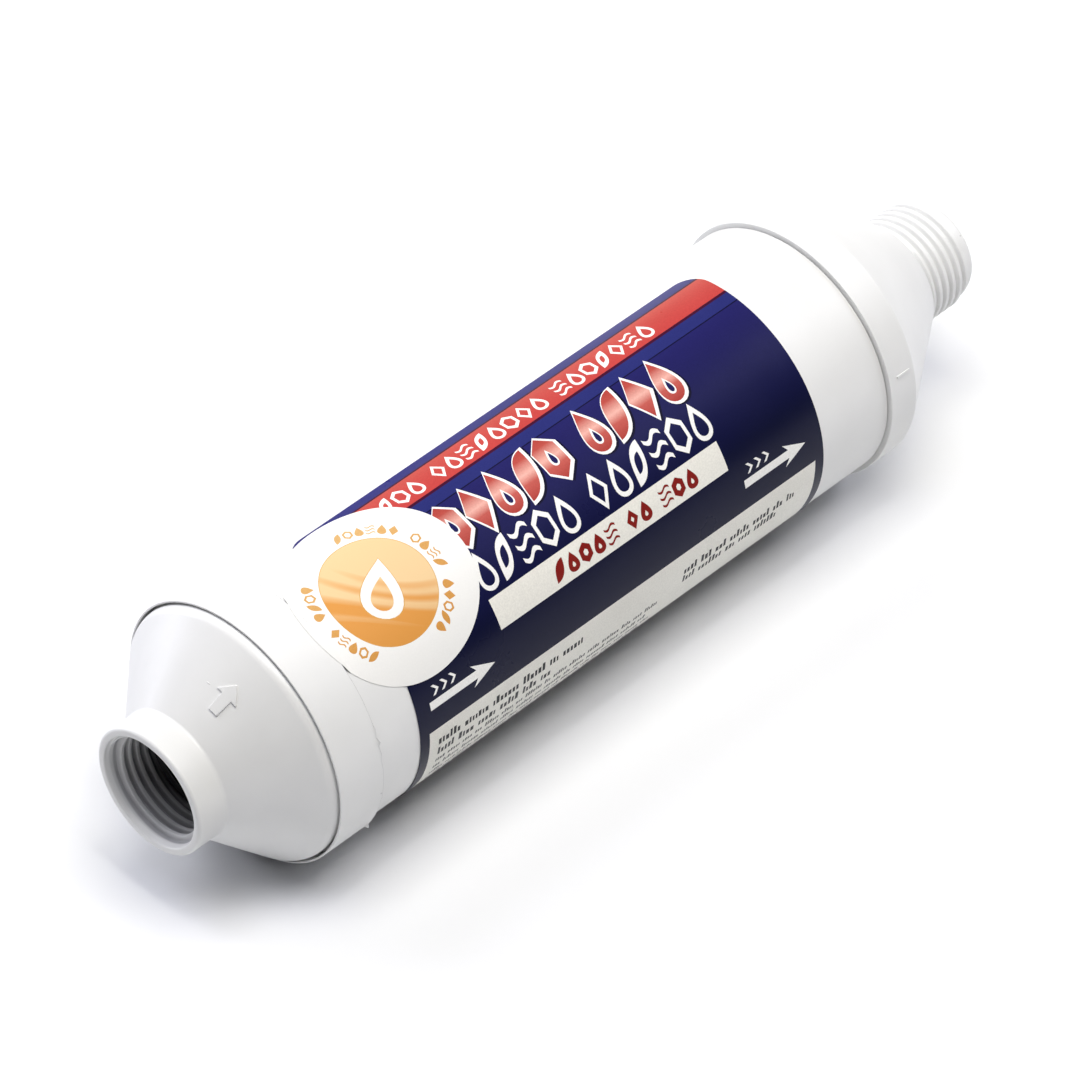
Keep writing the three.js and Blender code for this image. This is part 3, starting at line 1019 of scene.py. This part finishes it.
sticker_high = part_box("round_sticker")[1]
STICKER_SIZE = 22.0
STICKER_STATION = station_of(sticker_high.x) - STICKER_SIZE
STICKER_ANGLE = 113.8
STICKER_THICKNESS = 0.07
DISC_CENTRE = (-1.1, -0.1)
DISC_RADIUS = 13.05
DROP_TILT = 38
# Arcs of small figures round the disc: the kinds, with - for a gap, the first one's angle, the step
# between them and the turn that stands them upright, in degrees
ARC_RADIUS = 15.7
ARCS = (
    (
        "leaf cell drop waves drop crystal - cell drop waves leaf - drop crystal cell leaf drop",
        -81,
        9.1,
        90,
    ),
    ("leaf cell drop waves crystal - drop leaf cell drop", 135, 8.9, 270),
)


def sticker_place(u, v, height):
    """The sticker lies on the collar, the bare tube and the label, and steps softly between them."""
    on_tube, over_label, ramp = 0.11, 0.22, 1.6
    angle = math.radians(STICKER_ANGLE) + v / LABEL_RADIUS
    station = STICKER_STATION + u
    in_label = smooth((station - LABEL_START + 1.2) / ramp)
    in_label *= smooth(down(math.degrees(angle)) / ramp + 0.5)
    on_collar = smooth((COLLAR_END + 1.5 - station) / ramp)
    step = REST_RADIUS - FLASH - TUBE_RADIUS
    radius = TUBE_RADIUS + on_tube + over_label * in_label + step * on_collar
    outward = Vector((0, math.cos(angle), math.sin(angle)))
    return to_frame(station, radius + height, angle), outward


def sticker_layers():
    """White paper with a gold disc, a drop inside it and arcs of small figures round it."""
    drop_centre = (DISC_CENTRE[0] + 0.3, DISC_CENTRE[1])
    eye_centre = (drop_centre[0] - 0.9, drop_centre[1] + 1.1)
    edge = drop_outline(drop_centre, 15.0, 10.6)
    drop = drop_outline(drop_centre, 14.6, 10.2)
    eye = drop_outline(eye_centre, 8.2, 5.4)
    layers = [
        (disc_outline((0, 0), STICKER_SIZE), "paper"),
        (disc_outline(DISC_CENTRE, DISC_RADIUS + 0.15), "gold_line"),
        (disc_outline(DISC_CENTRE, DISC_RADIUS), "gold"),
        (turned(edge, drop_centre, DROP_TILT), "gold_line"),
        (turned(drop, drop_centre, DROP_TILT), "paper"),
        (turned(eye, eye_centre, DROP_TILT), "gold"),
    ]
    for kinds, first, step, upright in ARCS:
        for i, kind in enumerate(kinds.split()):
            if kind == "-":
                continue
            angle = first + step * i
            here = math.radians(angle)
            spot = (
                DISC_CENTRE[0] + ARC_RADIUS * math.cos(here),
                DISC_CENTRE[1] + ARC_RADIUS * math.sin(here),
            )
            for outline in figure(kind, spot, 2.8, 2.1):
                outline = turned(outline, spot, angle + upright)
                layers.append((outline, "gold_text"))
                if kind == "cell":
                    layers += [(inner, "paper") for inner in hollow(kind, outline, 0.45)]
    return layers


# The gold print pales along this direction as painted glare, between these distances from the origin in
# metres
GLARE_DIRECTION = (0.484, 0.468, 0.739)
GLARE_START, GLARE_END = -0.0050, 0.0182


def gold_print_with_painted_glare(name, light, dark):
    """Warm gold print under a painted highlight: paler towards the far top as painted glare, and crossed
    by soft pale bands of painted reflection.
    """
    shader = Shader(name)
    dot = shader.node("ShaderNodeVectorMath", {"operation": "DOT_PRODUCT"}, Vector=shader.place)
    dot.inputs[1].default_value = GLARE_DIRECTION
    height = dot.outputs["Value"]
    sway = shader.math("MULTIPLY", shader.noise(30, 0), 0.02)
    across = shader.math("MULTIPLY", shader.math("ADD", height, sway), 75.0)
    # Soft pale bands across the gold, painted as reflections
    reflection_streaks = shader.node("ShaderNodeTexNoise", {"noise_dimensions": "1D"}, W=across, Detail=0.0)
    # Paler towards the top as painted glare, plus the painted reflection bands
    shade = shader.math(
        "ADD",
        shader.span(height, GLARE_START, GLARE_END, 1.0, 0.0),
        shader.span(reflection_streaks.outputs["Fac"], 0.3, 0.7, -0.13, 0.13),
    )
    tone = shader.ramp(shade, [(0.1, light), (0.45, light), (0.72, dark), (1.0, dark)])
    shader.surface(Base_Color=tone, Roughness=0.3, Specular_IOR_Level=0.3)
    shader.bump(shader.noise(420, 2), 0.06, 0.00005)
    return shader.material


STICKER_WHITE_STOPS = [(72, rgb(236, 235, 232)), (360, rgb(232, 231, 228))]
GOLD_TEXT_STOPS = [(72, rgb(208, 172, 118)), (120, rgb(206, 152, 84)), (150, rgb(204, 142, 68))]
STICKER_ROUGHNESS = 0.24

STICKER_INKS = {
    "paper": printed_film("sticker_white", STICKER_WHITE_STOPS, STICKER_ROUGHNESS, 0.012),
    # The gold disc carries a painted highlight and painted reflections
    "gold": gold_print_with_painted_glare("sticker_gold", rgb(228, 196, 148), rgb(214, 148, 72)),
    "gold_line": plain_ink("sticker_gold_line", rgb(206, 156, 84), STICKER_ROUGHNESS),
    "gold_text": printed_film("sticker_gold_text", GOLD_TEXT_STOPS, STICKER_ROUGHNESS),
}


def sticker_bends():
    """Lines round the tube's curve, and close ones where the sticker steps up or down."""
    label_edge = LABEL_START - STICKER_STATION
    collar_edge = COLLAR_END - STICKER_STATION
    steps = evenly(label_edge - 1.4, label_edge + 0.6, 0.25)
    steps += evenly(collar_edge - 0.3, collar_edge + 1.7, 0.2)
    far = STICKER_SIZE + 1
    lines = bends(-far, far, -STICKER_SIZE, STICKER_SIZE)
    return lines + [((u, -far), (u, far)) for u in steps]


sticker = sheet(
    "disc_sticker", sticker_layers(), sticker_bends(), sticker_place, STICKER_THICKNESS, STICKER_INKS
)
add_piece(sticker, "filter", "sticker_film", "round_sticker")


# Raised marks moulded on the caps

ARROW_STATION = 15.7
ARROW_ANGLE = 110.0
TICK_STATION = BAND_START + 4.4
TICK_ANGLE = 164
MARK_ROOT = 0.3


def raised_mark(name, outline, cuts, place, height):
    """A flat-topped mark with rounded edges that stands on a surface and is rooted in it."""
    def on_top(u, v, level):
        return place(u, v, level + height)

    mark = sheet(name, [(outline, "white")], cuts, on_top, height + MARK_ROOT, {"white": WHITE})
    bevel = mark.modifiers.new("bevel", "BEVEL")
    bevel.width = 0.16 * MM
    bevel.segments = 2
    bevel.limit_method = "ANGLE"
    bevel.angle_limit = math.radians(50)
    weight_normals(mark)
    add_piece(mark, "filter", "white_plastic")


def on_cone(u, v, height):
    slant = math.hypot(1, INLET_SLOPE)
    foot = ARROW_STATION + u / slant
    angle = math.radians(ARROW_ANGLE) + v / cone_radius(ARROW_STATION)
    outward = Vector((-INLET_SLOPE, math.cos(angle), math.sin(angle))).normalized()
    station = foot - height * INLET_SLOPE / slant
    return to_frame(station, cone_radius(foot) + height / slant, angle), outward


def on_band(u, v, height):
    angle = math.radians(TICK_ANGLE) + v / REST_RADIUS
    outward = Vector((0, math.cos(angle), math.sin(angle)))
    return to_frame(TICK_STATION + u, REST_RADIUS + height, angle), outward


def block_arrow():
    tail, neck, tip = -3.9, 0.5, 3.9
    half_head, half_shaft = 2.9, 1.4
    return [
        (tail, -half_shaft), (neck, -half_shaft), (neck, -half_head), (tip, 0),
        (neck, half_head), (neck, half_shaft), (tail, half_shaft),
    ]


arrow_bends = [((-5, v), (5, v)) for v in (-2, -1, 0, 1, 2)]
raised_mark("moulded_arrow", block_arrow(), arrow_bends, on_cone, 0.42)
raised_mark("moulded_dash", box_outline(-0.1, -5.6, 0.15, -4.6), [], on_cone, 0.1)
raised_mark("moulded_tick", box_outline(-2.0, -0.3, 2.0, 0.3), [], on_band, 0.3)


# Hose washer and its woven screen

WASHER_LOW, WASHER_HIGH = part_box("hose_washer")
SCREEN_LOW, SCREEN_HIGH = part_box("washer_screen")


def hose_washer():
    start, end = station_of(WASHER_LOW.x), station_of(WASHER_HIGH.x)
    outer = (WASHER_HIGH.z - WASHER_LOW.z) / 2 / MM
    bore, seat_radius, seat = 8.0, 9.0, start + 1.4
    corners = [
        (start, seat_radius, 0.1),
        (start, outer, 0.6),
        (end, outer, 0.6),
        (end, bore, 0.4),
        (seat, bore, 0.1),
        (seat, seat_radius, 0.1),
    ]
    return revolve("rubber_washer", filleted(corners), RUBBER)


add_piece(hose_washer(), "washer", "rubber", "hose_washer")


def wire(path, radius, sides=6):
    """The vertices and faces of one closed wire along a list of points, all near one plane."""
    vertices, faces = [], []
    along_x = Vector((1, 0, 0))
    for i, point in enumerate(path):
        ahead = (path[min(i + 1, len(path) - 1)] - path[max(i - 1, 0)]).normalized()
        across = ahead.cross(along_x).normalized()
        up = across.cross(ahead)
        for side in range(sides):
            angle = TURN * side / sides
            vertices.append(point + radius * (math.cos(angle) * across + math.sin(angle) * up))
    last = (len(path) - 1) * sides
    for ring in range(0, last, sides):
        for side in range(sides):
            after = (side + 1) % sides
            faces.append((ring + side, ring + after, ring + sides + after, ring + sides + side))
    faces.append(tuple(reversed(range(sides))))
    faces.append(tuple(range(last, last + sides)))
    return vertices, faces


def woven_screen():
    """A plain weave: each wire passes over and under the ones that cross it."""
    radius = (SCREEN_HIGH.z - SCREEN_LOW.z) / 2
    middle = (SCREEN_LOW.x + SCREEN_HIGH.x) / 2
    spacing, wire_radius = 0.9 * MM, 0.13 * MM
    rise = wire_radius * 0.95
    vertices, faces = [], []
    count = int(radius / spacing)
    for direction in (0, 1):
        for line in range(-count, count + 1):
            offset = line * spacing
            half = math.sqrt(max(0.0, (radius - wire_radius) ** 2 - offset ** 2))
            if half < spacing:
                continue
            path = []
            side = 1 if (line + direction) % 2 else -1
            for along in evenly(-half, half, spacing / 4):
                x = middle + rise * (math.cos(math.pi * along / spacing) * side)
                y, z = (along, offset) if direction else (offset, along)
                path.append(Vector((x, y, AXIS_Z + z)))
            wire_vertices, wire_faces = wire(path, wire_radius)
            base = len(vertices)
            vertices += wire_vertices
            faces += [tuple(base + index for index in face) for face in wire_faces]
    return new_object("woven_strainer", vertices, faces, [STEEL])


add_piece(woven_screen(), "washer", "steel_mesh", "washer_screen")


# The sealed pieces keep their CAD shapes and get their materials

HIDDEN = {
    "inlet_diffuser": NATURAL,
    "inlet_screen_ring": NATURAL,
    "inlet_screen": NYLON,
    "inlet_felt_pad": FELT,
    "copper_zinc_bed": COPPER_ZINC,
    "separator_pad": FELT,
    "carbon_bed": CARBON,
    "outlet_felt_pad": FELT,
    "outlet_screen_ring": NATURAL,
    "outlet_screen": NYLON,
    "outlet_support_plate": NATURAL,
}

for node_name, node_material in HIDDEN.items():
    node_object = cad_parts[node_name]
    node_object.data.materials.clear()
    node_object.data.materials.append(node_material)


# Floor, light and camera

CENTRE = (CAD_LOW + CAD_HIGH) / 2
CAMERA_HEADING = 43.986
CAMERA_PITCH = -42.317
CAMERA_DISTANCE = 1.5138
CAMERA_LENS = 230.87
AIM = CENTRE + Vector((-6.2, -0.4, -5.2)) * MM
FLOOR_HALF = 4.0
BOX_DISTANCE = 1.2
BOX_WIDTH = 0.5


def floor():
    corners = box_outline(-FLOOR_HALF, -FLOOR_HALF, FLOOR_HALF, FLOOR_HALF)
    plane = new_object("floor", [(x, y, CAD_LOW.z) for x, y in corners], [(0, 1, 2, 3)], [])
    shader = Shader("floor_paper")
    tone = shader.mix(shader.noise(3, 2), rgb(230, 231, 233), rgb(232, 233, 235))
    shader.surface(Base_Color=tone, Roughness=0.8)
    plane.data.materials.append(shader.material)


WARM = (1.0, 0.97, 0.82)
PLAIN = (1.0, 0.98, 0.96)
COOL = (0.89, 0.90, 1.0)

# Soft boxes: degrees from the camera's heading, degrees above the floor, watts and colour
SOFT_BOXES = {
    "overhead": (0, 90, 5, WARM),
    "high_front_right": (225, 70, 7, PLAIN),
    "high_front_left": (135, 70, 4, COOL),
    "upper_behind_left": (60, 50, 5, COOL),
    "behind_right": (300, 30, 5, COOL),
    "low_behind_left": (60, 12, 5, COOL),
    "low_behind": (0, 12, 3, WARM),
}


def soft_box(name, heading, height, power, colour):
    heading = math.radians(CAMERA_HEADING + heading)
    height = math.radians(height)
    direction = Vector((
        math.cos(heading) * math.cos(height),
        math.sin(heading) * math.cos(height),
        math.sin(height),
    ))
    light = bpy.data.lights.new(name, "AREA")
    light.shape = "SQUARE"
    light.size = BOX_WIDTH
    light.energy = power
    light.color = colour
    lamp = bpy.data.objects.new(name, light)
    lamp.location = CENTRE + direction * BOX_DISTANCE
    lamp.rotation_euler = (-direction).to_track_quat("-Z", "Y").to_euler()
    bpy.context.scene.collection.objects.link(lamp)


def studio():
    bpy.context.scene.view_settings.view_transform = "Standard"
    for name, settings in SOFT_BOXES.items():
        soft_box(name, *settings)


def camera():
    heading, pitch = math.radians(CAMERA_HEADING), math.radians(CAMERA_PITCH)
    forward = Vector((
        math.cos(pitch) * math.cos(heading),
        math.cos(pitch) * math.sin(heading),
        math.sin(pitch),
    ))
    data = bpy.data.cameras.new("camera")
    data.lens = CAMERA_LENS
    data.sensor_width = 36
    data.clip_end = 20
    holder = bpy.data.objects.new("camera", data)
    holder.location = AIM - forward * CAMERA_DISTANCE
    holder.rotation_euler = forward.to_track_quat("-Z", "Y").to_euler()
    bpy.context.scene.collection.objects.link(holder)
    bpy.context.scene.camera = holder


floor()
studio()
camera()
